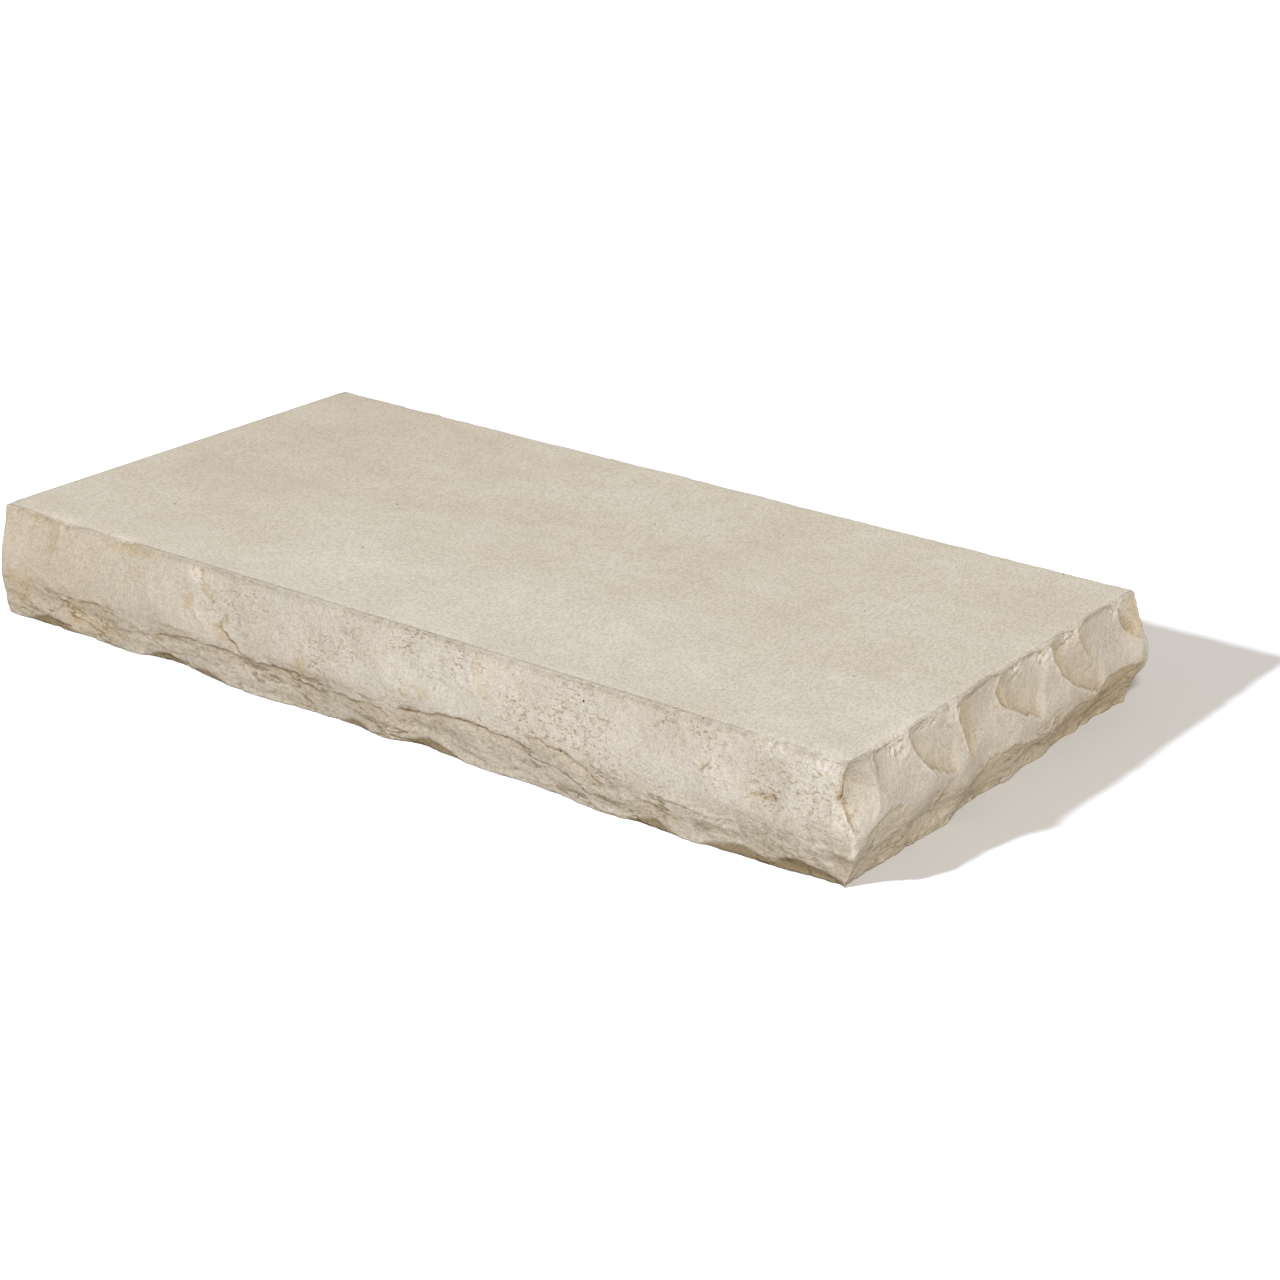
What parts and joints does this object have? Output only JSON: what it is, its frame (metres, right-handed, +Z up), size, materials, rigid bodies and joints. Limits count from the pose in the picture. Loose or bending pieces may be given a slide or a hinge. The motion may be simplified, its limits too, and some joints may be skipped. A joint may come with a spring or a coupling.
{
  "type": "closed-end coping",
  "caption": "Rectangular cast-stone wall coping with a flat top, a plain butt end, rock-faced long sides and a rock-faced closed end.",
  "frame": {"origin": "middle of the underside's bounding rectangle, on the bed the slab lies on", "axes": "+X along the slab from the plain butt end to the closed end, +Y from the front face to the back face, +Z up out of the top face"},
  "size_m": [0.61, 0.33, 0.07],
  "materials": {
    "cast_stone": "matt cream cast stone with a fine grain, small pits and chisel marks"
  },
  "bodies": {
    "root": {"coping_slab": "cast_stone"}
  },
  "joints": []
}
